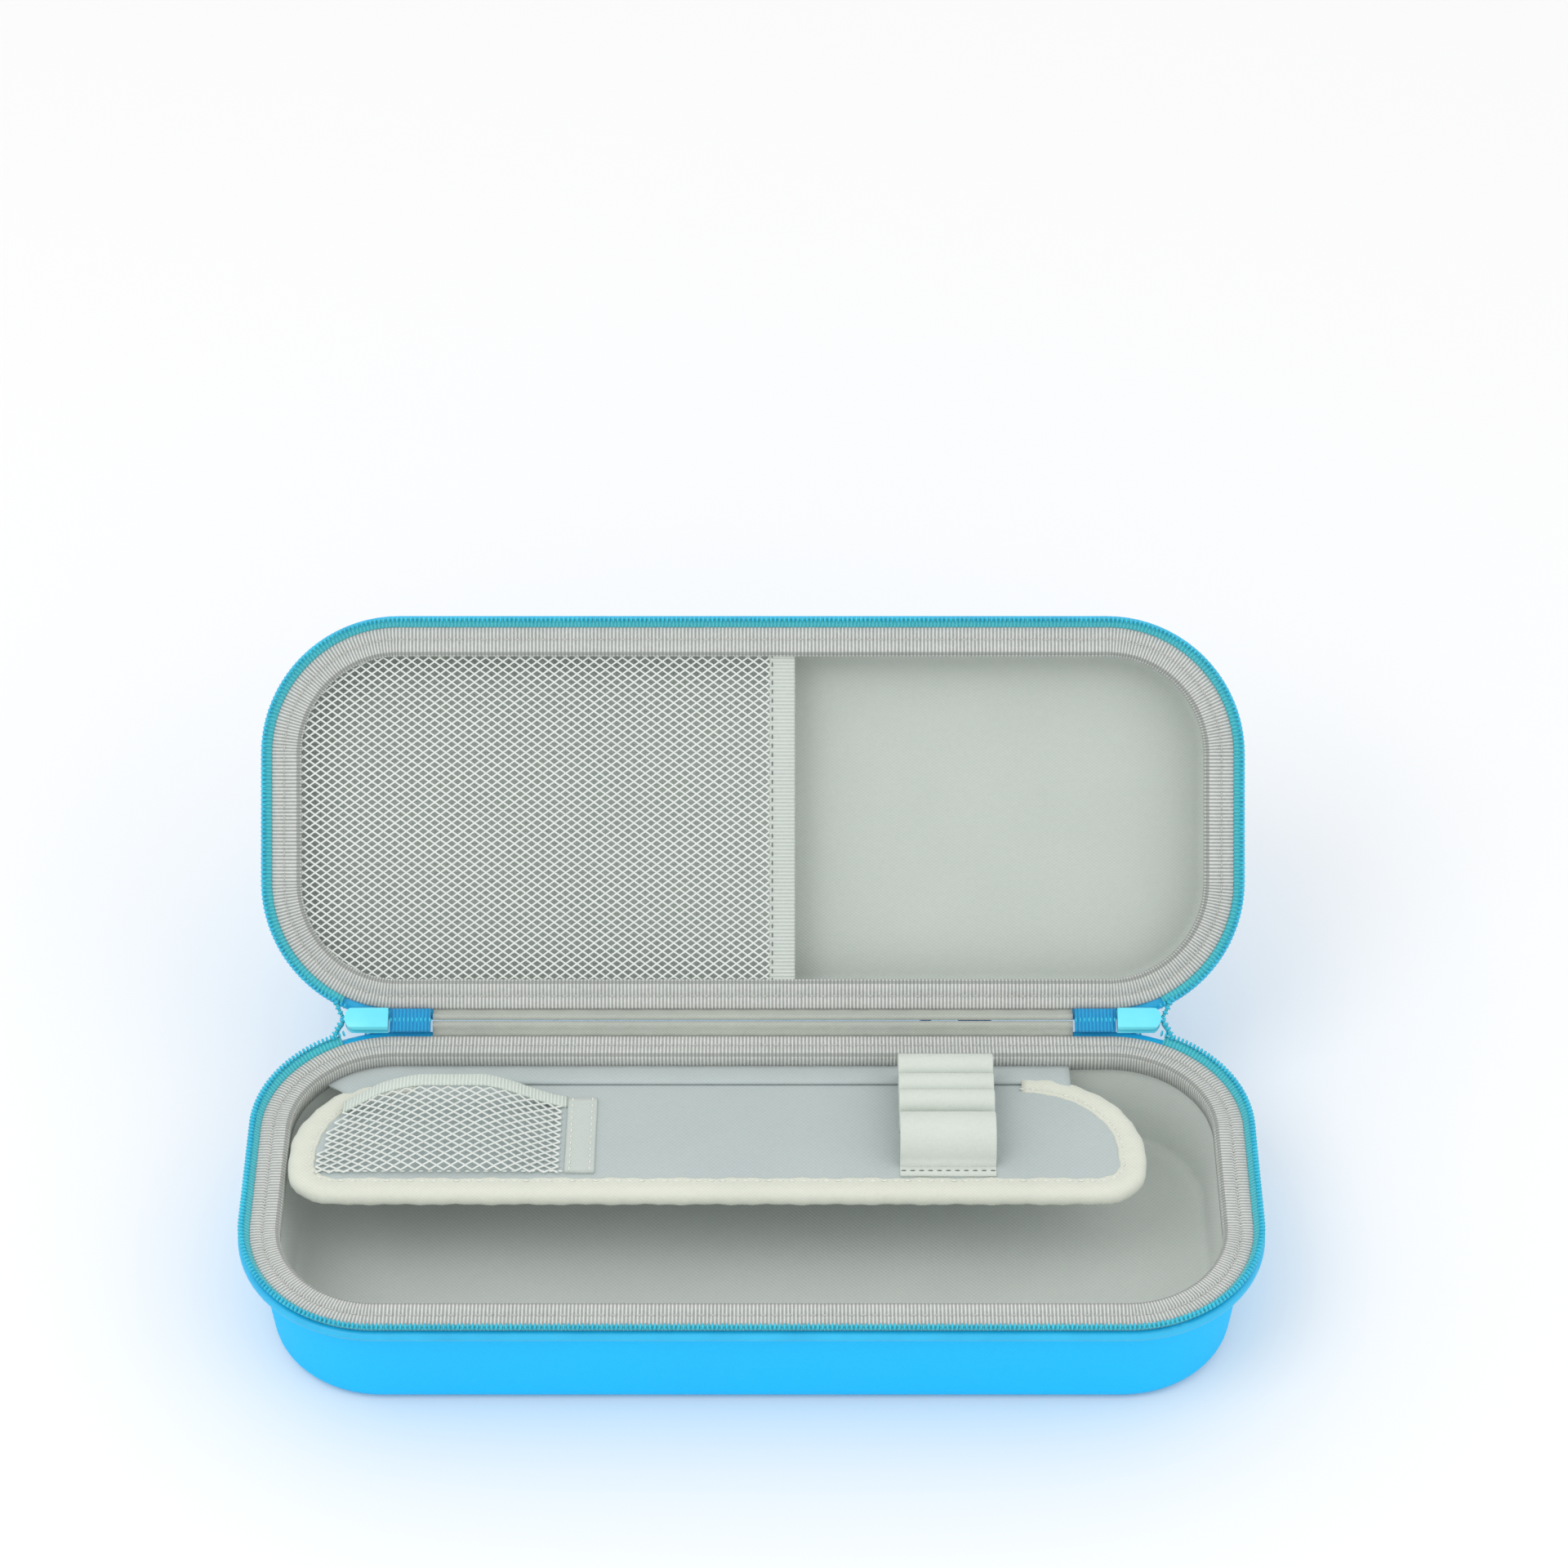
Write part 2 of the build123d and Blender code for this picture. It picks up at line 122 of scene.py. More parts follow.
class Finish:
    # one material and its node tree
    def __init__(self, name, **constants):
        self.material = bpy.data.materials.new(name)
        self.material.use_nodes = True
        self.tree = self.material.node_tree
        self.shader = self.tree.nodes["Principled BSDF"]
        for key, value in constants.items():
            self.shader.inputs[key].default_value = value

    def node(self, kind, settings=None, values=None, output=0):
        node = self.tree.nodes.new(kind)
        for key, value in (settings or {}).items():
            setattr(node, key, value)
        for key, value in (values or {}).items():
            plug(self.tree, node.inputs[key], value)
        return Sock(self.tree, node.outputs[output])

    def place(self):
        return self.node("ShaderNodeTexCoord", output="Object")

    def along(self):
        return self.node("ShaderNodeUVMap", {"uv_map": "along"})

    def split(self, vector):
        node = self.tree.nodes.new("ShaderNodeSeparateXYZ")
        plug(self.tree, node.inputs[0], vector)
        return [Sock(self.tree, out) for out in node.outputs]

    def noise(self, vector, size, detail=2.0):
        return self.node(
            "ShaderNodeTexNoise", {}, {"Vector": vector, "Scale": size, "Detail": detail}
        )

    def mixed(self, share, first, second):
        node = self.tree.nodes.new("ShaderNodeMix")
        node.data_type = "RGBA"
        plug(self.tree, node.inputs[0], share)
        plug(self.tree, node.inputs[6], first)
        plug(self.tree, node.inputs[7], second)
        return Sock(self.tree, node.outputs[2])

    def colour(self, value):
        plug(self.tree, self.shader.inputs["Base Color"], value)

    def rough(self, value):
        plug(self.tree, self.shader.inputs["Roughness"], value)

    def bump(self, height, strength, distance):
        bump = self.node(
            "ShaderNodeBump", {}, {"Height": height, "Strength": strength, "Distance": distance}
        )
        plug(self.tree, self.shader.inputs["Normal"], bump)


def tone(red, green, blue):
    # a 0-255 screen colour as the linear one that a shader takes
    linear = []
    for value in (red, green, blue):
        value /= 255.0
        linear.append(value / 12.92 if value < 0.04045 else ((value + 0.055) / 1.055) ** 2.4)
    return (*linear, 1.0)


def weave(finish, vector, pitch):
    # over-and-under threads in two directions, 0 to 1
    x, y, z = finish.split(vector)
    turn = 2 * math.pi / pitch
    first = (x * turn).math("SINE")
    second = ((y + z) * turn).math("SINE")
    return first * second * 0.5 + 0.5


def clothFinish(name, light, dark, pitch=0.0011, rough=0.85, strength=0.35, sheen=0.25):
    finish = Finish(name, **{"Sheen Weight": sheen, "Sheen Roughness": 0.5})
    place = finish.place()
    threads = weave(finish, place, pitch)
    patches = finish.noise(place, 34.0, 3.0)
    fuzz = finish.noise(place, 900.0, 2.0)
    share = (threads * 0.35 + patches * 0.35 + fuzz * 0.3).clamp()
    finish.colour(finish.mixed(share, dark, light))
    finish.rough(patches * 0.12 + (rough - 0.06))
    finish.bump(threads * 0.7 + fuzz * 0.5, strength, 0.00018)
    return finish.material


def ribFinish(name, light, dark, seam=None, rough=0.85):
    # woven tape: its own map runs along it in metres, with V across it from 0 to 1
    finish = Finish(name, **{"Sheen Weight": 0.2, "Sheen Roughness": 0.5})
    u, v, _ = finish.split(finish.along())
    fuzz = finish.noise(finish.place(), 1100.0, 2.0)
    patches = finish.noise(finish.place(), 60.0, 2.0)
    rib = (u * (2 * math.pi / 0.00105)).math("SINE") * 0.5 + 0.5
    share = (rib * 0.62 + fuzz * 0.25 + patches * 0.13).clamp()
    colour = finish.mixed(share, dark, light)
    # seam gives the V and half-width of a darker line mixed in along the tape; on the binding it is painted shade where
    # the tape turns in at its inner lip
    if seam:
        near = ((v - seam[0]).math("ABSOLUTE").math("LESS_THAN", seam[1])) * 0.55
        colour = finish.mixed(near, colour, dark)
    finish.colour(colour)
    finish.rough(rib * 0.08 + rough)
    finish.bump(rib * 0.8 + fuzz * 0.3, 0.8, 0.0004)
    return finish.material


def plasticFinish(name, light, dark, rough=0.35, coat=0.2):
    finish = Finish(name, **{"Coat Weight": coat, "Coat Roughness": 0.2})
    place = finish.place()
    wear = finish.noise(place, 90.0, 3.0)
    grain = finish.noise(place, 1500.0, 2.0)
    finish.colour(finish.mixed(wear, dark, light))
    finish.rough(wear * 0.12 + rough)
    finish.bump(grain, 0.12, 0.0001)
    return finish.material


looks = {
    "shell": clothFinish("blueShell", tone(0, 202, 255), tone(0, 184, 250), 0.0012, 0.75, 0.25, 0.0),
    "piping": plasticFinish("bluePiping", tone(40, 196, 244), tone(18, 168, 220), 0.42, 0.1),
    "lining": clothFinish("greyLining", tone(203, 209, 204), tone(178, 186, 180), 0.0013),
    "baseLining": clothFinish("baseLining", tone(222, 227, 223), tone(198, 205, 200), 0.0013),
    # the darker line at V 0.52 on the binding's inner lip is painted shade where the binding turns in towards the
    # opening
    "binding": ribFinish("greyBinding", tone(238, 240, 236), tone(122, 127, 123), (0.52, 0.045)),
    "tape": ribFinish("zipperTape", tone(92, 214, 222), tone(30, 158, 178)),
    "coil": plasticFinish("zipperCoil", tone(62, 212, 236), tone(20, 168, 208), 0.4, 0.1),
    "joined": ribFinish("joinedTape", tone(40, 176, 226), tone(0, 118, 184)),
    "strip": clothFinish("stripCloth", tone(30, 178, 216), tone(8, 146, 190), 0.0011),
    "stripInside": clothFinish("stripInside", tone(196, 200, 190), tone(150, 156, 148), 0.0011),
    "net": clothFinish("paleNet", tone(240, 244, 240), tone(214, 221, 216), 0.0006, 0.8),
    "band": ribFinish("paleBand", tone(222, 228, 222), tone(184, 192, 186), (0.12, 0.02)),
    "elastic": ribFinish("paleElastic", tone(228, 236, 228), tone(186, 198, 190)),
    "flap": clothFinish("flapCloth", tone(192, 202, 201), tone(164, 176, 176), 0.0013),
    "flapEdge": clothFinish("flapEdge", tone(228, 230, 216), tone(198, 202, 190), 0.0012),
    "loopCloth": clothFinish("loopCloth", tone(222, 228, 220), tone(192, 200, 192), 0.0009),
    "pocketSeam": clothFinish("pocketSeam", tone(206, 212, 206), tone(178, 188, 184), 0.0012),
    "thread": clothFinish("thread", tone(240, 242, 236), tone(214, 218, 210), 0.0005),
    "seam": clothFinish("seamThread", tone(206, 210, 204), tone(176, 181, 176), 0.0005),
    "darkThread": clothFinish("darkThread", tone(120, 126, 122), tone(92, 98, 96), 0.0005),
    "webbing": ribFinish("blueWebbing", tone(14, 148, 200), tone(4, 96, 152)),
    "enamel": plasticFinish("sliderEnamel", tone(120, 238, 252), tone(84, 214, 238), 0.25, 0.6),
    "grip": plasticFinish("gripPlastic", tone(76, 174, 196), tone(44, 138, 168), 0.45, 0.1),
    "print": clothFinish("whitePrint", tone(244, 248, 250), tone(228, 236, 242), 0.0012),
}
print("finishes made:", len(looks))


# mesh helpers
def finished(name, mesh, body, material, stands=(), smooth=True):
    obj = bpy.data.objects.new(name, mesh)
    bpy.context.scene.collection.objects.link(obj)
    if not mesh.materials:
        mesh.materials.append(looks[material])
    for polygon in mesh.polygons:
        polygon.use_smooth = smooth
    if body:
        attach(obj, body)
    if stands:
        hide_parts(*stands)
    return obj


def outward(bm):
    bmesh.ops.remove_doubles(bm, verts=bm.verts, dist=0.000005)
    bmesh.ops.recalc_face_normals(bm, faces=bm.faces)


def sweep(rings, closed, section_closed=True, lengths=None):
    # mesh through rings of points in metres, with a map whose U is the length along it
    bm = bmesh.new()
    layer = bm.loops.layers.uv.new("along")
    count = len(rings[0])
    rows = [[bm.verts.new(point) for point in ring] for ring in rings]
    travelled = [0.0]
    for last, this in zip(rings, rings[1:] + rings[:1]):
        travelled.append(travelled[-1] + (Vector(this[0]) - Vector(last[0])).length)
    steps = len(rows) if closed else len(rows) - 1
    across = count if section_closed else count - 1
    for i in range(steps):
        for j in range(across):
            corners = (
                (rows[i][j], travelled[i], j),
                (rows[(i + 1) % len(rows)][j], travelled[i + 1], j),
                (rows[(i + 1) % len(rows)][(j + 1) % count], travelled[i + 1], j + 1),
                (rows[i][(j + 1) % count], travelled[i], j + 1),
            )
            face = bm.faces.new([corner[0] for corner in corners])
            for loop, corner in zip(face.loops, corners):
                loop[layer].uv = (corner[1], corner[2] / across)
    if not closed and section_closed:
        for row in (rows[0], rows[-1]):
            bm.faces.new(row)
    bmesh.ops.recalc_face_normals(bm, faces=bm.faces)
    mesh = bpy.data.meshes.new("sweep")
    bm.to_mesh(mesh)
    bm.free()
    return mesh


def rimPath(offset, step=2.0, cutX=None):
    # points and outward directions round the rim; with cutX the back is open between -cutX and cutX
    halfX, halfY = case["wallHalfLength"], case["wallHalfWidth"]
    radius = case["wallRadius"]
    x, y = halfX - radius, halfY - radius
    path = []

    def straight(start, end, out):
        count = max(int((Vector(end) - Vector(start)).length / step), 1)
        for index in range(count):
            path.append((Vector(start).lerp(Vector(end), index / count), Vector(out)))

    def corner(cx, cy, first):
        count = int(radius * math.pi / 2 / step)
        for index in range(count):
            angle = math.radians(first + 90.0 * index / count)
            out = Vector((math.cos(angle), math.sin(angle)))
            path.append((Vector((cx, cy)) + out * radius, out))

    straight((0, halfY), (-x, halfY), (0, 1))
    corner(-x, y, 90)
    straight((-halfX, y), (-halfX, -y), (-1, 0))
    corner(-x, -y, 180)
    straight((-x, -halfY), (x, -halfY), (0, -1))
    corner(x, -y, 270)
    straight((halfX, -y), (halfX, y), (1, 0))
    corner(x, y, 0)
    straight((x, halfY), (0, halfY), (0, 1))
    if cutX:
        path = [item for item in path if item[0].y < 0 or abs(item[0].x + item[1].x * 3) > cutX]
    return [(point + out * offset, out) for point, out in path]


def rimSweep(frameMatrix, section, cutX=None, flip=False, step=2.0):
    # section: (outwards, up) points in millimetres, carried round the rim of a part
    rings = []
    for point, out in rimPath(0.0, step, cutX):
        side = -1 if flip else 1
        ring = []
        for reach, height in section:
            spot = Vector((point.x + out.x * reach, side * (point.y + out.y * reach), height))
            ring.append((frameMatrix @ spot) * mm)
        rings.append(ring)
    return sweep(rings, cutX is None)


def treeOf(name, inputs):
    # a Geometry Nodes tree with a mesh input, the named inputs and a mesh output
    tree = bpy.data.node_groups.new(name, "GeometryNodeTree")
    face = tree.interface
    face.new_socket("Geometry", in_out="INPUT", socket_type="NodeSocketGeometry")
    for label, kind in inputs:
        face.new_socket(label, in_out="INPUT", socket_type=kind)
    face.new_socket("Geometry", in_out="OUTPUT", socket_type="NodeSocketGeometry")
    source = tree.nodes.new("NodeGroupInput")
    target = tree.nodes.new("NodeGroupOutput")
    return tree, source, target


def runTree(tree, obj, values):
    modifier = obj.modifiers.new("repeat", "NODES")
    modifier.node_group = tree
    for item in tree.interface.items_tree:
        if item.in_out == "INPUT" and item.name in values:
            modifier[item.identifier] = values[item.name]
    bpy.context.view_layer.update()
    graph = bpy.context.evaluated_depsgraph_get()
    mesh = bpy.data.meshes.new_from_object(obj.evaluated_get(graph))
    obj.modifiers.remove(modifier)
    bpy.data.objects.remove(obj)
    return mesh


def alongTree():
    # beads set along a path at a pitch: teeth, stitches and cords
    tree, source, target = treeOf(
        "beadsAlong",
        [
            ("Pitch", "NodeSocketFloat"),
            ("Size", "NodeSocketVector"),
            ("Material", "NodeSocketMaterial"),
        ],
    )
    new, link = tree.nodes.new, tree.links.new
    curve = new("GeometryNodeMeshToCurve")
    points = new("GeometryNodeCurveToPoints")
    points.mode = "LENGTH"
    bead = new("GeometryNodeMeshIcoSphere")
    bead.inputs["Radius"].default_value = 0.5
    bead.inputs["Subdivisions"].default_value = 1
    place = new("GeometryNodeInstanceOnPoints")
    real = new("GeometryNodeRealizeInstances")
    paint = new("GeometryNodeSetMaterial")
    link(source.outputs["Geometry"], curve.inputs["Mesh"])
    link(curve.outputs["Curve"], points.inputs["Curve"])
    link(source.outputs["Pitch"], points.inputs["Length"])
    link(points.outputs["Points"], place.inputs["Points"])
    link(points.outputs["Rotation"], place.inputs["Rotation"])
    link(bead.outputs["Mesh"], place.inputs["Instance"])
    link(source.outputs["Size"], place.inputs["Scale"])
    link(place.outputs["Instances"], real.inputs["Geometry"])
    link(real.outputs["Geometry"], paint.inputs["Geometry"])
    link(source.outputs["Material"], paint.inputs["Material"])
    link(paint.outputs["Geometry"], target.inputs["Geometry"])
    return tree


def strandTree():
    # threads of a net: every edge of the input becomes a thin strand
    tree, source, target = treeOf(
        "netStrands", [("Radius", "NodeSocketFloat"), ("Material", "NodeSocketMaterial")]
    )
    new, link = tree.nodes.new, tree.links.new
    curve = new("GeometryNodeMeshToCurve")
    profile = new("GeometryNodeCurvePrimitiveCircle")
    profile.inputs["Resolution"].default_value = 4
    pipe = new("GeometryNodeCurveToMesh")
    real = new("GeometryNodeRealizeInstances")
    paint = new("GeometryNodeSetMaterial")
    link(source.outputs["Geometry"], curve.inputs["Mesh"])
    link(source.outputs["Radius"], profile.inputs["Radius"])
    link(curve.outputs["Curve"], pipe.inputs["Curve"])
    link(profile.outputs["Curve"], pipe.inputs["Profile Curve"])
    link(pipe.outputs["Mesh"], real.inputs["Geometry"])
    link(real.outputs["Geometry"], paint.inputs["Geometry"])
    link(source.outputs["Material"], paint.inputs["Material"])
    link(paint.outputs["Geometry"], target.inputs["Geometry"])
    return tree


beads, strands = alongTree(), strandTree()


def lineObject(paths, closed=False):
    # one object of loose edges; each path is a list of points in metres
    points, edges = [], []
    for path in paths:
        first = len(points)
        points += [tuple(point) for point in path]
        edges += [(first + i, first + i + 1) for i in range(len(path) - 1)]
        if closed:
            edges.append((len(points) - 1, first))
    mesh = bpy.data.meshes.new("lines")
    mesh.from_pydata(points, edges, [])
    obj = bpy.data.objects.new("lines", mesh)
    bpy.context.scene.collection.objects.link(obj)
    return obj


def beaded(name, paths, pitch, size, body, material, stands=(), closed=False):
    # size: (across, across, along) of one bead in metres
    values = {"Pitch": pitch, "Size": size, "Material": looks[material]}
    mesh = runTree(beads, lineObject(paths, closed), values)
    return finished(name, mesh, body, material, stands)


def netted(name, paths, radius, body, material, stands=()):
    mesh = runTree(strands, lineObject(paths), {"Radius": radius, "Material": looks[material]})
    return finished(name, mesh, body, material, stands)


def rounded(width, height, round_, count=4):
    # rounded rectangle section, its middle at the origin
    points = []
    for cx, cy, first in ((1, 1, 0), (-1, 1, 90), (-1, -1, 180), (1, -1, 270)):
        for index in range(count):
            angle = math.radians(first + 90 * index / (count - 1))
            points.append(
                (
                    cx * (width / 2 - round_) + round_ * math.cos(angle),
                    cy * (height / 2 - round_) + round_ * math.sin(angle),
                )
            )
    return points


def joinedMesh(parts):
    # several meshes as one
    bm = bmesh.new()
    for part in parts:
        bm.from_mesh(part)
    mesh = bpy.data.meshes.new("joined")
    bm.to_mesh(mesh)
    bm.free()
    return mesh


def ribbon(points, widthWay, width, thickness, closed=False):
    # flat webbing along points, widthWay its width's direction; all in metres
    rings = []
    count = len(points)
    for index, point in enumerate(points):
        point = Vector(point)
        last = Vector(points[index - 1]) if index or closed else point
        this = Vector(points[(index + 1) % count]) if index < count - 1 or closed else point
        way = (this - last).normalized()
        up = way.cross(widthWay).normalized()
        ring = []
        for across, rise in rounded(width, thickness, min(thickness, width) * 0.45, 3):
            ring.append(point + widthWay * across + up * rise)
        rings.append(ring)
    return sweep(rings, closed)


# shells, piping and other solids kept from the frame
kept = {
    "base_shell": "shell",
    "lid_shell": "shell",
    "base_rim_piping": "piping",
    "lid_rim_piping": "piping",
    "base_lining": "baseLining",
    "lid_lining": "lining",
    "flap_hinge_tape": "baseLining",
    "link_left": "enamel",
    "link_right": "enamel",
}
for name, look in kept.items():
    nodes[name].data.materials.clear()
    nodes[name].data.materials.append(looks[look])
print("solids kept:", len(kept))


# copies of rigid solids with softened edges
def softened(node, name, body, material, width):
    mesh = nodes[node].data.copy()
    mesh.materials.clear()
    mesh.materials.append(looks[material])
    bm = bmesh.new()
    bm.from_mesh(mesh)
    outward(bm)
    bmesh.ops.dissolve_limit(bm, angle_limit=0.02, verts=bm.verts, edges=bm.edges)
    bm.to_mesh(mesh)
    bm.free()
    obj = finished(name, mesh, body, material, (node,))
    bevel = obj.modifiers.new("edges", "BEVEL")
    bevel.width = width
    bevel.segments = 3
    bevel.limit_method = "ANGLE"
    return obj


for side in ("left", "right"):
    softened("slider_" + side, "slider_" + side + "_dressed", "slider_" + side, "enamel", 0.0005)
    softened("grip_" + side, "grip_" + side + "_dressed", "pull_" + side, "grip", 0.0003)


# rims: binding, zipper tape and teeth
rim = {
    "bindingOut": 1.8,
    "bindingIn": 6.7,
    "bindingTop": 1.0,
    "bindingDrop": 4.7,
    "seam": -1.9,
    "stitch": (0.0005, 0.0005, 0.0021),
    "stitchPitch": 0.0034,
    "toothPitch": 0.0013,
    "tooth": (0.0021, 0.0019, 0.0008),
}


def bindingSection():
    out, inner, top = rim["bindingOut"], -rim["bindingIn"], rim["bindingTop"]
    seam, drop = rim["seam"], -rim["bindingDrop"]
    return [
        (out, 0.0),
        (out, top * 0.55),
        (out - 0.5, top * 0.95),
        (seam + 0.7, top),
        (seam, top - 0.55),
        (seam - 0.7, top + 0.1),
        (inner + 1.4, top + 0.15),
        (inner + 0.5, top - 0.25),
        (inner, top - 1.0),
        (inner, -1.6),
        (inner + 0.1, drop),
        (inner + 1.6, drop),
        (inner + 1.6, 0.0),
    ]


def rimLine(frameMatrix, reach, height, cutX=None, flip=False, step=1.0):
    line = []
    for point, out in rimPath(0.0, step, cutX):
        side = -1 if flip else 1
        spot = Vector((point.x + out.x * reach, side * (point.y + out.y * reach), height))
        line.append((frameMatrix @ spot) * mm)
    return line


for body, matrix, flip in (("base", baseFrame, False), ("lid", lidFrame, True)):
    mesh = rimSweep(matrix, bindingSection(), flip=flip, step=1.5)
    finished(body + "_binding", mesh, body, "binding", (body + "_binding_tape",))
    stitches = rimLine(matrix, rim["seam"], rim["bindingTop"] - 0.3, flip=flip)
    beaded(body + "_binding_stitches", [stitches], rim["stitchPitch"], rim["stitch"], body, "seam", closed=True)
    cut = case["tapeEndX"]
    section = [(1.6, 0.0), (1.7, 0.9), (2.9, 1.9), (3.9, 2.2), (4.3, 1.9), (3.4, 0.9), (3.1, 0.0)]
    mesh = rimSweep(matrix, section, cut, flip, 1.5)
    finished(body + "_tape", mesh, body, "tape", (body + "_zipper_tape",))
    teeth = rimLine(matrix, 3.9, 2.75, cut, flip)
    beaded(body + "_teeth", [teeth], rim["toothPitch"], rim["tooth"], body, "coil", (body + "_zipper_coil",))
print("rims dressed")


# hinge cloth: from each rim to the crease
hingeCloth = {"length": 92.4, "ribs": 62, "sag": 0.35}


def bendAtCrease(obj, start, crease):
    # bakes the object's transform into its mesh; the start and crease points change nothing
    start + (crease - start) * 2
    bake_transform(obj)


def hingeHalf(name, matrix, side, layer, foot, material, stands):
    # a thin layer standing on a rim
    near, far = layer
    rings = []
    for index in range(hingeCloth["ribs"] + 1):
        x = (2 * index / hingeCloth["ribs"] - 1) * hingeCloth["length"]
        wave = hingeCloth["sag"] * math.sin(index * 1.7) * 0.35
        ring = []
        lap = 58.3 - far  # the inside layer laps over the outer one at the crease
        profile = (
            (near - foot, 0.15),
            (near - foot * 0.3 + wave, 1.1),
            (near + wave, 2.6),
            (near + 0.2, 3.4 + lap * 0.2),
            (far + lap, 3.6 + lap * 0.3),
            (far + lap, 3.4 + lap * 0.3),
            (far, 3.35),
            (far + wave, 2.4),
            (far, 0.0),
        )
        for y, z in profile:
            ring.append((matrix @ Vector((x, side * y, z))) * mm)
        rings.append(ring)
    obj = finished(name, sweep(rings, False), None, material, stands)
    start = (matrix @ Vector((0, side * near, 2.0))) * mm
    crease = (matrix @ Vector((0, side * near, 4.0))) * mm
    bendAtCrease(obj, start, crease)
    return obj


for body, matrix, side in (("base", baseFrame, 1), ("lid", lidFrame, -1)):
    outer = hingeHalf(body + "_strip_cloth", matrix, side, (57.3, 58.3), 0.0, "strip", (body + "_strip_outer",))
    inner = hingeHalf(body + "_strip_inside", matrix, side, (56.5, 57.3), 1.5, "stripInside", (body + "_strip_lining",))
print("hinge cloth made")


# joined zipper stretches
joined = {"length": 11.8, "height": 7.2, "thickness": 1.1, "teeth": 0.0012}
for name, side in (("left", -1), ("right", 1)):
    rings = []
    for step in range(9):
        x = side * (case["stripHalf"] + joined["length"] * step / 8)
        ring = []
        for across, rise in rounded(joined["height"], joined["thickness"], 0.45, 3):
            ring.append((stripFrame @ Vector((x, rise, across))) * mm)
        rings.append(ring)
    finished("joined_" + name, sweep(rings, False), "strip", "joined", ("joined_zipper_" + name,))
    start, end = case["stripHalf"], case["stripHalf"] + joined["length"]
    line = [(stripFrame @ Vector((side * x, 0, 0))) * mm for x in (start + 0.3, end - 0.3)]
    beaded("joined_teeth_" + name, [line], joined["teeth"], (0.0021, 0.0021, 0.0009), "strip", "coil")

# the free tapes leave the rims and run together into the sliders' mouths
mouth = {"fromX": 121.0, "toX": 118.4, "apart": 0.9, "steps": 8, "reach": 3.5}
for body, matrix, side in (("base", baseFrame, 1), ("lid", lidFrame, -1)):
    for name, end in (("left", -1), ("right", 1)):
        across = mouth["fromX"] - (case["wallHalfLength"] - case["wallRadius"])
        radius = case["wallRadius"] + mouth["reach"]
        y = case["wallHalfWidth"] - case["wallRadius"] + math.sqrt(radius**2 - across**2)
        first = matrix @ Vector((end * mouth["fromX"], side * y, 1.9))
        last = stripFrame @ Vector((end * mouth["toX"], 0, -side * mouth["apart"]))
        up = (matrix.to_3x3() @ Vector((0, 0, 1))).normalized()
        line = []
        for step in range(mouth["steps"] + 1):
            share = step / mouth["steps"]
            line.append((first.lerp(last, share) + up * 0.5 * math.sin(share * math.pi)) * mm)
        tape = finished("mouth_tape_" + body + "_" + name, ribbon(line, up, 0.0019, 0.0009), None, "tape")
        bendAtCrease(tape, line[0], line[-1])
        raised = [point + up * 0.0009 for point in line]
        values = {"Pitch": rim["toothPitch"], "Size": rim["tooth"], "Material": looks["coil"]}
        teeth = finished("mouth_teeth_" + body + "_" + name, runTree(beads, lineObject([raised]), values), None, "coil")
        bendAtCrease(teeth, line[0], line[-1])
print("joined zippers made")


# lid: net and its band
lidNet = {"left": -133.5, "right": 5.2, "half": 49.5, "radius": 31.0, "cellX": 3.3, "cellY": 2.4, "depth": -1.5}


def insideNet(x, y):
    if not lidNet["left"] <= x <= lidNet["right"] or abs(y) > lidNet["half"]:
        return False
    cornerX = lidNet["left"] + lidNet["radius"] - x
    cornerY = abs(y) - (lidNet["half"] - lidNet["radius"])
    return cornerX < 0 or cornerY < 0 or math.hypot(cornerX, cornerY) < lidNet["radius"]


def diamondPaths(inside, low, high, cellX, cellY, lift):
    # zigzag threads of a net in rows; lift gives the point for (x, y)
    paths = []
    rows = int((high[1] - low[1]) / (cellY / 2))
    columns = int((high[0] - low[0]) / (cellX / 2))
    for row in range(rows + 1):
        path = []
        for column in range(columns + 1):
            x = low[0] + column * cellX / 2
            y = low[1] + (row + (column + row) % 2) * cellY / 2
            if inside(x, y):
                path.append(lift(x, y))
            elif len(path) > 1:
                paths.append(path)
                path = []
            else:
                path = []
        if len(path) > 1:
            paths.append(path)
    return paths


def lidSpot(x, y):
    droop = 0.5 * math.sin((x + 133) / 139 * math.pi) * math.cos(y / 49.5 * math.pi / 2)
    return (lidFrame @ Vector((x, y, lidNet["depth"] - droop))) * mm


low, high = (lidNet["left"], -lidNet["half"]), (lidNet["right"], lidNet["half"])
paths = diamondPaths(insideNet, low, high, lidNet["cellX"], lidNet["cellY"], lidSpot)
netted("lid_net", paths, 0.0004, "lid", "net", ("lid_mesh_pocket",))

band = {"x": 8.5, "width": 7.4, "half": 49.3, "thickness": 1.1, "height": -1.3}
points = [(lidFrame @ Vector((band["x"], y, band["height"]))) * mm for y in range(-49, 50, 2)]
mesh = ribbon(points, Vector((1, 0, 0)), band["width"] * mm, band["thickness"] * mm)
finished("lid_band", mesh, "lid", "band", ("lid_pocket_band",))
seamPoints = [(lidFrame @ Vector((band["x"] - 2.9, y, band["height"] + 0.6))) * mm for y in (-47, 47)]
beaded("lid_band_stitches", [seamPoints], 0.0026, (0.0005, 0.0005, 0.0016), "lid", "darkThread")
print("lid net and band made")


# flap: padded panel with a soft edge
flap = {
    "left": -130.5,
    "right": 111.0,
    "front": -54.6,
    "back": -1.6,
    "frontCorner": 14.0,
    "backCorner": 34.0,
    "half": 1.9,
    "edge": 8.0,
}


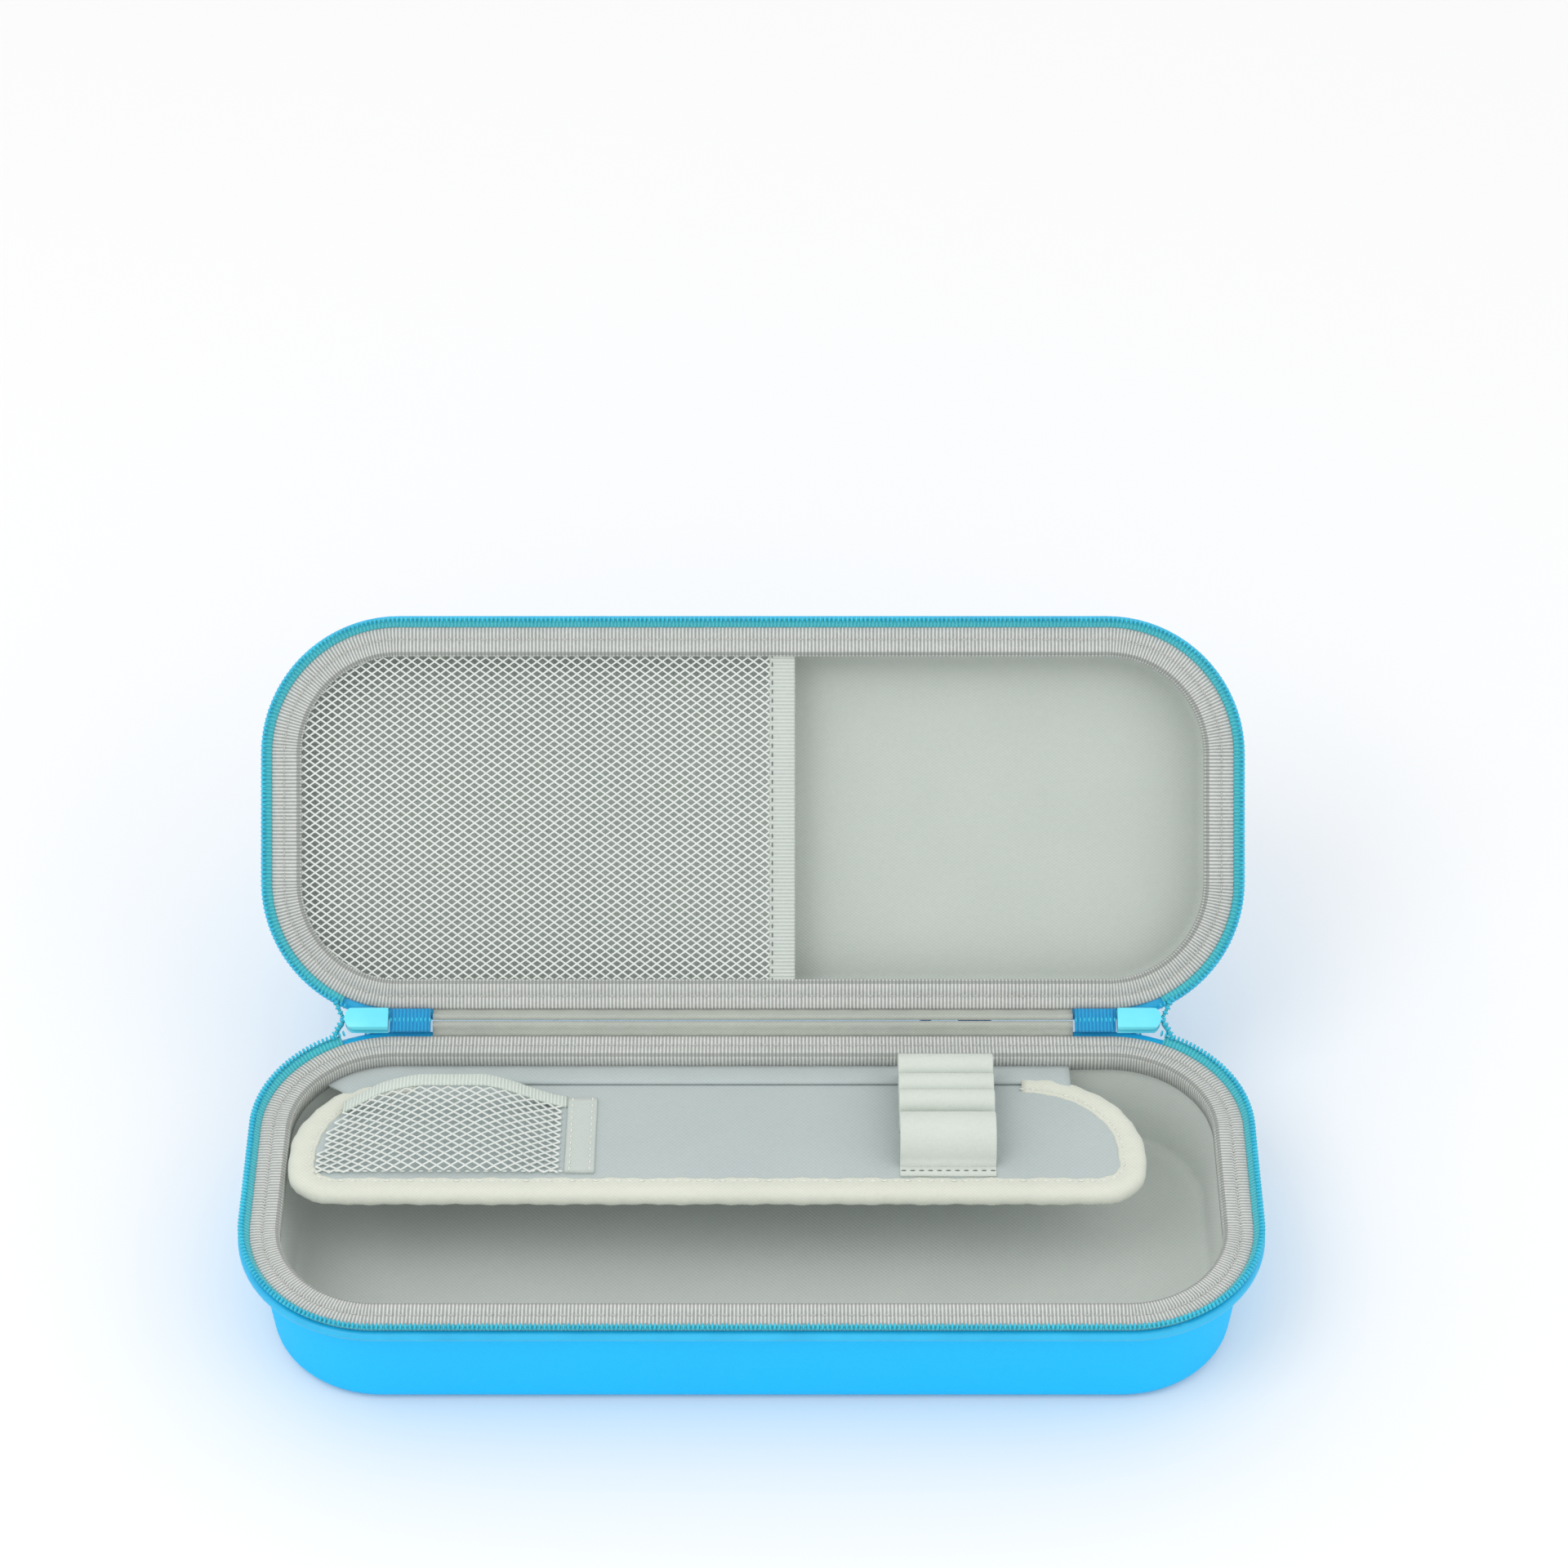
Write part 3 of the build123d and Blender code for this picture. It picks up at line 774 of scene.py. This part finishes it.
def flapOutline(inset, step=3.0, openBack=False):
    # counter-clockwise from the back left corner's end on the fold
    left, right = flap["left"] + inset, flap["right"] - inset
    front, back = flap["front"] + inset, flap["back"] - inset
    f, b = flap["frontCorner"] - inset, flap["backCorner"] - inset
    corners = (
        (left + b, back - b, b, 90),
        (left + f, front + f, f, 180),
        (right - f, front + f, f, 270),
        (right - b, back - b, b, 0),
    )
    points = []
    for cx, cy, radius, first in corners:
        count = max(int(radius * math.pi / 2 / step), 4)
        for index in range(count + 1):
            angle = math.radians(first + 90 * index / count)
            points.append(Vector((cx + radius * math.cos(angle), cy + radius * math.sin(angle), 0)))
    dense = []
    for this, after in zip(points, points[1:]):
        gap = (after - this).length
        count = max(int(gap / step), 1)
        dense += [this.lerp(after, index / count) for index in range(count)]
    dense.append(points[-1])
    if not openBack:
        gap = (points[0] - points[-1]).length
        count = max(int(gap / step), 1)
        dense += [points[-1].lerp(points[0], index / count) for index in range(1, count)]
    return dense


def flapPanel():
    # crowned panel: rings of its outline drawn inwards, thicker towards the middle
    insets = (2.2, 2.6, 4.5, 8.0, 12.0, 13.9)
    bm = bmesh.new()
    sheets = []
    for side in (1, -1):
        rows = []
        for inset in insets:
            rise = flap["half"] * (0.45 + 0.55 * min((inset - 2.2) / 5.0, 1.0) ** 0.5)
            bulge = 0.25 * max(inset - 8.0, 0) / 6.0
            outline = flapOutline(inset, 3.0)
            rows.append([bm.verts.new((flapFrame @ (p + Vector((0, 0, side * (rise + bulge))))) * mm) for p in outline])
        sheets.append(rows)
    for rows in sheets:
        for outer, inner in zip(rows, rows[1:]):
            joinLoops(bm, outer, inner)
        bm.faces.new(rows[-1])
    joinLoops(bm, sheets[0][0], sheets[1][0])
    bmesh.ops.triangulate(bm, faces=[face for face in bm.faces if len(face.verts) > 4])
    bmesh.ops.recalc_face_normals(bm, faces=bm.faces)
    mesh = bpy.data.meshes.new("flapPanel")
    bm.to_mesh(mesh)
    bm.free()
    return mesh


def joinLoops(bm, first, second):
    # triangles between two closed loops whose counts may differ, by share of the way round
    i = j = 0
    while i < len(first) or j < len(second):
        a, b = first[i % len(first)], second[j % len(second)]
        if j >= len(second) or (i < len(first) and (i + 1) / len(first) <= (j + 1) / len(second)):
            bm.faces.new((a, first[(i + 1) % len(first)], b))
            i += 1
        else:
            bm.faces.new((a, second[(j + 1) % len(second)], b))
            j += 1


panel = finished("flap_panel", flapPanel(), "flap", "flap", ("flap_cover_top", "flap_cover_bottom"))
nodes["flap_stiffener"].data.materials.clear()
nodes["flap_stiffener"].data.materials.append(looks["flap"])


def flapRing(section, inset, openBack=True):
    line = flapOutline(inset, 2.0, openBack)
    rings = []
    for index, point in enumerate(line):
        last = line[max(index - 1, 0)]
        after = line[min(index + 1, len(line) - 1)]
        way = (after - last).normalized()
        out = way.cross(Vector((0, 0, 1)))
        pucker = 1 + 0.04 * math.sin(index * 1.9) + 0.03 * math.sin(index * 0.73)
        rings.append([(flapFrame @ (point + out * x * pucker + Vector((0, 0, z * pucker)))) * mm for x, z in section])
    return sweep(rings, False)


edgeSection = [
    (3.9, 0.0), (3.6, 1.3), (2.4, 2.3), (0.6, 2.6), (-1.4, 2.45), (-2.6, 2.0), (-3.1, 2.3), (-3.9, 2.0),
    (-3.9, -2.0), (-3.1, -2.3), (-2.6, -2.0), (-1.4, -2.45), (0.6, -2.6), (2.4, -2.3), (3.6, -1.3),
]
edge = finished("flap_edge", flapRing(edgeSection, 4.0), "flap", "flapEdge", ("flap_edge_binding",))
line = [(flapFrame @ (p + Vector((0, 0, 2.15)))) * mm for p in flapOutline(6.6, 2.0, True)]
beaded("flap_edge_stitches", [line], 0.0032, (0.0005, 0.0005, 0.002), "flap", "thread")

# cloth from the flap's back edge to the case's wall
fold = {"first": 128.0, "last": 62.0, "steps": 90, "inset": 4.2, "wall": -6.35, "wallZ": 33.4}


def backEdge(share):
    # a point of the flap's back edge, from its left corner round to its right one
    inset = fold["inset"]
    back = flap["back"] - inset
    radius = flap["backCorner"] - inset
    left = Vector((flap["left"] + inset + radius, back - radius, 0))
    right = Vector((flap["right"] - inset - radius, back - radius, 0))
    turnLeft = math.radians(fold["first"] - 90) * radius
    turnRight = math.radians(90 - fold["last"]) * radius
    total = turnLeft + (right - left).length + turnRight
    gone = share * total
    if gone < turnLeft:
        angle = math.radians(fold["first"]) - gone / radius
        return left + Vector((math.cos(angle), math.sin(angle), 0)) * radius
    if gone < total - turnRight:
        return left + Vector((gone - turnLeft, radius, 0))
    angle = math.radians(90) - (gone - total + turnRight) / radius
    return right + Vector((math.cos(angle), math.sin(angle), 0)) * radius


wallLine = [point for point, out in rimPath(fold["wall"], 0.5)]
rings = []
for index in range(fold["steps"] + 1):
    edgePoint = backEdge(index / fold["steps"])
    start = flapFrame @ (edgePoint + Vector((0, 0, 2.35)))
    near = min(wallLine, key=lambda p: (p - Vector((start.x, start.y))).length)
    end = Vector((near.x, near.y, fold["wallZ"]))
    wave = 0.25 * math.sin(index * 1.3) + 0.15 * math.sin(index * 0.41)
    top = []
    for step in range(8):
        share = step / 7
        spot = start.lerp(end, share)
        spot.z += (0.9 + wave) * math.sin(share * math.pi) * (1 - share * 0.6)
        top.append(spot)
    rings.append([p * mm for p in top] + [(p - Vector((0, 0, 0.7))) * mm for p in reversed(top)])
foldCloth = finished("flap_fold_cloth", sweep(rings, False), None, "flap")
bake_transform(foldCloth)
print("flap made")


# flap pocket: net, elastic top and seam tape
pocket = {"left": -122.2, "right": -52.5, "front": -45.1, "back": -12.1, "rise": 8.7, "elastic": 4.5, "cell": (4.0, 2.6)}


def pocketRise(x, y):
    share = (x - pocket["left"]) / (pocket["right"] - pocket["left"])
    deep = min(max((y - pocket["front"]) / (pocket["back"] - pocket["front"]), 0), 1)
    climb = min(max(share, 0) / 0.4, max(1 - share, 0) / 0.34, 1.0)
    bow = climb * climb * (3 - 2 * climb) * 0.6 + climb * 0.4
    return flap["half"] + 0.6 + bow * (1.2 + (pocket["rise"] - 1.6) * deep ** 0.8)


def insidePocket(x, y):
    if not pocket["left"] <= x <= pocket["right"] or not pocket["front"] <= y <= pocket["back"] - 3.5:
        return False
    cx = flap["left"] + flap["backCorner"] - x
    cy = y - (flap["back"] - flap["backCorner"])
    return cx < 0 or cy < 0 or math.hypot(cx, cy) < flap["backCorner"] - 8.4


def pocketSpot(x, y):
    return (flapFrame @ Vector((x, y, pocketRise(x, y)))) * mm


low, high = (pocket["left"], pocket["front"]), (pocket["right"], pocket["back"])
paths = diamondPaths(insidePocket, low, high, *pocket["cell"], pocketSpot)
netted("pocket_net", paths, 0.0004, "flap", "net", ("flap_mesh_pocket",))

rings = []
for index in range(41):
    share = index / 40
    x = pocket["left"] + 6.0 + (pocket["right"] - pocket["left"] - 6.0) * share
    lean = 4.0 * max(0.16 - share, 0) / 0.16
    ring = []
    for across, rise in rounded(pocket["elastic"], 1.2, 0.5, 3):
        y = pocket["back"] - pocket["elastic"] / 2 + across - lean
        ring.append((flapFrame @ Vector((x, y, pocketRise(x, pocket["back"]) + rise - 0.2))) * mm)
    rings.append(ring)
finished("pocket_elastic", sweep(rings, False), "flap", "elastic", ("flap_pocket_elastic",))
middle = pocket["right"] + 4.2
points = [(flapFrame @ Vector((middle, y, 2.5))) * mm for y in range(-45, -11, 2)]
finished("pocket_seam_tape", ribbon(points, Vector((1, 0, 0)), 0.0084, 0.0012), "flap", "pocketSeam", ("flap_seam_tape",))
lines = [[(flapFrame @ Vector((middle + s * 2.8, y, 3.2))) * mm for y in (-44, -14)] for s in (-1, 1)]
beaded("pocket_seam_stitches", lines, 0.0026, (0.0005, 0.0005, 0.0017), "flap", "thread")
line = [[(flapFrame @ Vector((x, pocket["front"] + 0.3, 2.9))) * mm for x in (pocket["left"] + 1, pocket["right"] - 1)]]
beaded("pocket_front_stitches", line, 0.0026, (0.0005, 0.0005, 0.0017), "flap", "thread")
print("pocket made")


# pen loops: one elastic band, sewn down between its arches
loops = {
    "left": 41.5,
    "right": 68.5,
    "front": -42.5,
    "pitches": (15.7, 7.7, 7.8, 8.3),
    "heights": (11.35, 10.85, 10.35, 10.85),
    "band": 0.7,
    "tab": 3.8,
}
profile = [Vector((0, loops["front"] - loops["tab"], 2.3)), Vector((0, loops["front"] - 0.4, 2.3))]
start = loops["front"]
for pitch, height in zip(loops["pitches"], loops["heights"]):
    radius = pitch / 2 - 0.36
    leg = height - radius
    middle = start + pitch / 2
    profile.append(Vector((0, middle - radius, 2.5)))
    for index in range(17):
        angle = math.pi * (1 - index / 16)
        profile.append(Vector((0, middle + radius * math.cos(angle), 1.9 + leg + radius * math.sin(angle))))
    profile.append(Vector((0, middle + radius, 2.5)))
    start += pitch
middleX = (loops["left"] + loops["right"]) / 2
width = loops["right"] - loops["left"]
points = [(flapFrame @ (p + Vector((middleX, 0, 0)))) * mm for p in profile]
finished("pen_loop_band", ribbon(points, Vector((1, 0, 0)), width * mm, 0.0009), "flap", "loopCloth", ("pen_loops",))
ends = (loops["left"] + 1, loops["right"] - 1)
line = [(flapFrame @ Vector((x, loops["front"] - 2.0, 2.8))) * mm for x in ends]
stitch = (0.0005, 0.0005, 0.0016)
beaded("pen_loop_stitches", [line], 0.0024, stitch, "flap", "darkThread")
print("pen loops made")


# wrist strap and its tab
strap = {"root": (88.0, 55.4, 20.0), "angle": 145.0, "length": 46.0, "half": 7.5, "thickness": 1.2, "width": 7.8}
turned = Matrix.Translation(strap["root"]) @ Matrix.Rotation(math.radians(strap["angle"]), 4, "Z")
centre = []
inner = strap["thickness"] / 2
far = strap["length"] - strap["half"]
for index in range(21):
    share = index / 20
    ease = share * share * (3 - 2 * share)
    centre.append((0.4 + (far - 0.4) * share, inner + (strap["half"] - inner * 2) * ease))
for index in range(1, 12):
    angle = math.pi / 2 - math.pi * index / 12
    reach = strap["half"] - inner
    centre.append((far + reach * math.cos(angle), reach * math.sin(angle)))
for index in range(20, -1, -1):
    share = index / 20
    ease = share * share * (3 - 2 * share)
    centre.append((0.4 + (far - 0.4) * share, -inner - (strap["half"] - inner * 2) * ease))
points = [(turned @ Vector((x, y, 0))) * mm for x, y in centre]
mesh = ribbon(points, Vector((0, 0, 1)), strap["width"] * mm, strap["thickness"] * mm)
finished("strap_webbing", mesh, "strap", "webbing", ("wrist_strap",))
softened("strap_tab", "strap_tab_dressed", "base", "webbing", 0.0002)
print("strap made")


# white print on the lid: leaves on a stem, and rings
printed = {"depth": -18.62, "thickness": 0.12, "stem": 0.9}


def lidTop(x, y, height):
    return (lidFrame @ Vector((x, y, printed["depth"] - height))) * mm


def flatStroke(line, width):
    points = [lidTop(x, y, 0.02) for x, y in line]
    up = (lidFrame.to_3x3() @ Vector((0, 0, 1))).normalized()
    rings = []
    for index, point in enumerate(points):
        last, after = points[max(index - 1, 0)], points[min(index + 1, len(points) - 1)]
        across = (after - last).normalized().cross(up) * width * mm / 2
        down = up * -printed["thickness"] * mm
        rings.append([point + across, point - across, point - across + down, point + across + down])
    return sweep(rings, False)


strokes = []
stemLine = [(8 + t * 1.0, 18 + 9 * math.sin(t / 17.0)) for t in range(0, 100, 2)]
strokes.append(flatStroke(stemLine, printed["stem"]))
for index in range(7):
    baseX, baseY = stemLine[4 + index * 6]
    for side in (-1, 1):
        leaf = []
        for step in range(13):
            angle = 2 * math.pi * step / 12
            x, y = 5.2 * math.cos(angle), 1.9 * math.sin(angle) * (1 - 0.25 * math.cos(angle))
            tilt = math.radians(side * 52 + 8)
            leaf.append(
                (
                    baseX + (x + 5.6) * math.cos(tilt) - y * math.sin(tilt),
                    baseY + (x + 5.6) * math.sin(tilt) + y * math.cos(tilt),
                )
            )
        strokes.append(flatStroke(leaf, 0.7))
for cx, cy, radius in ((18, -12, 4.5), (32, -18, 3.0), (46, -10, 5.5), (66, -16, 3.6), (84, -8, 4.8)):
    ring = [(cx + radius * math.cos(a / 12 * math.pi), cy + radius * math.sin(a / 12 * math.pi)) for a in range(25)]
    strokes.append(flatStroke(ring, 0.8))
finished("lid_print", joinedMesh(strokes), "lid", "print", smooth=False)
print("print made")


# camera, floor, light
shot = {
    "target": (0.009, -0.1414, 0.314),
    "distance": 1.051,
    "elevation": 42.23,
    "lens": 109.95,
    "sensor": 36.0,
    "key": 3.0,
    "fill": 1.0,
    "world": 1.0,
    "floor": (0.9, 0.9, 0.9, 1.0),
}


def addCamera():
    lift = math.radians(shot["elevation"])
    back = Vector((0.0, -math.cos(lift), math.sin(lift)))
    data = bpy.data.cameras.new("camera")
    data.lens = shot["lens"]
    data.sensor_width = shot["sensor"]
    data.clip_start = 0.01
    camera = bpy.data.objects.new("camera", data)
    camera.location = Vector(shot["target"]) + back * shot["distance"]
    camera.rotation_euler = (math.radians(90.0) - lift, 0.0, 0.0)
    bpy.context.scene.collection.objects.link(camera)
    bpy.context.scene.camera = camera


def addLamp(name, place, aim, power, size):
    data = bpy.data.lights.new(name, "AREA")
    data.energy = power
    data.size = size
    lamp = bpy.data.objects.new(name, data)
    lamp.location = place
    lamp.rotation_euler = (Vector(aim) - Vector(place)).to_track_quat("-Z", "Y").to_euler()
    bpy.context.scene.collection.objects.link(lamp)


def addStage():
    mesh = bpy.data.meshes.new("floor")
    mesh.from_pydata([(-4, -4, 0), (4, -4, 0), (4, 4, 0), (-4, 4, 0)], [], [(0, 1, 2, 3)])
    floor = bpy.data.objects.new("floor", mesh)
    bpy.context.scene.collection.objects.link(floor)
    finish = Finish("floorFinish", **{"Roughness": 0.9})
    finish.shader.inputs["Base Color"].default_value = shot["floor"]
    mesh.materials.append(finish.material)


addCamera()
addLamp("key", (-0.55, -0.5, 1.2), (0, 0.0, 0.03), shot["key"], 0.7)
addLamp("fill", (0.9, -0.6, 0.9), (0, 0.0, 0.03), shot["fill"], 0.9)
addStage()
scene = bpy.context.scene
scene.view_settings.view_transform = "Standard"
world = bpy.data.worlds.new("world")
scene.world = world
world.use_nodes = True
background = world.node_tree.nodes["Background"]
background.inputs["Color"].default_value = (1, 1, 1, 1)
background.inputs["Strength"].default_value = shot["world"]
print("stage set")
